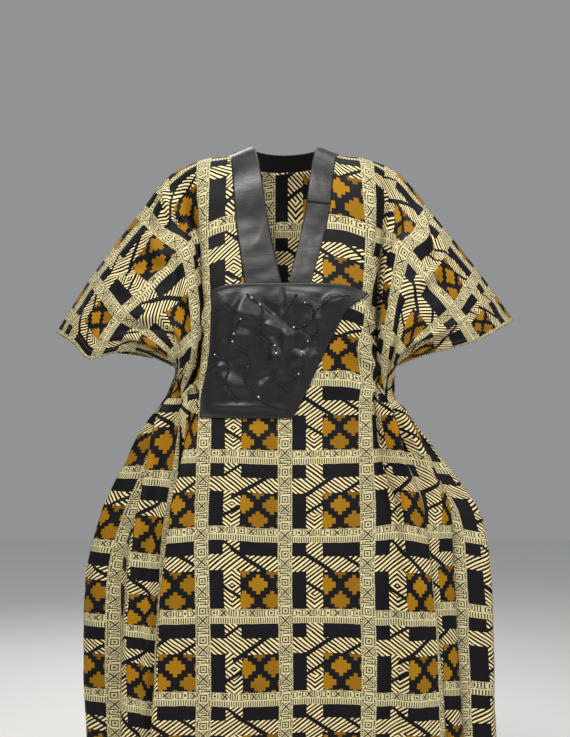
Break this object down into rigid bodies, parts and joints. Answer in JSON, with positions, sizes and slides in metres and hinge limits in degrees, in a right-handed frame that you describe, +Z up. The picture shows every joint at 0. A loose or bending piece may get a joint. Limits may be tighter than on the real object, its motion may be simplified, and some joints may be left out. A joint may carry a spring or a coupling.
{
  "type": "wax-print kaftan",
  "caption": "Wide wax-print kaftan in its worn form, with sleeves cut in one, a satin-banded V neck and a satin waist panel.",
  "frame": {"origin": "between the shoulders at the height of the neck points, where the wearer holds the garment up", "axes": "+Z up, -Y towards the front of the garment, +X towards the wearer's left side"},
  "size_m": [0.8456, 0.4828, 1.3916],
  "materials": {
    "wax_print": "crisp printed wax cotton, slight sheen",
    "satin": "black dull satin, soft sheen"
  },
  "bodies": {
    "root": {"front_panel": "wax_print", "back_panel": "wax_print", "neckband_left": "satin", "neckband_right": "satin", "neckband_back": "satin", "waist_panel": "satin"}
  },
  "joints": []
}
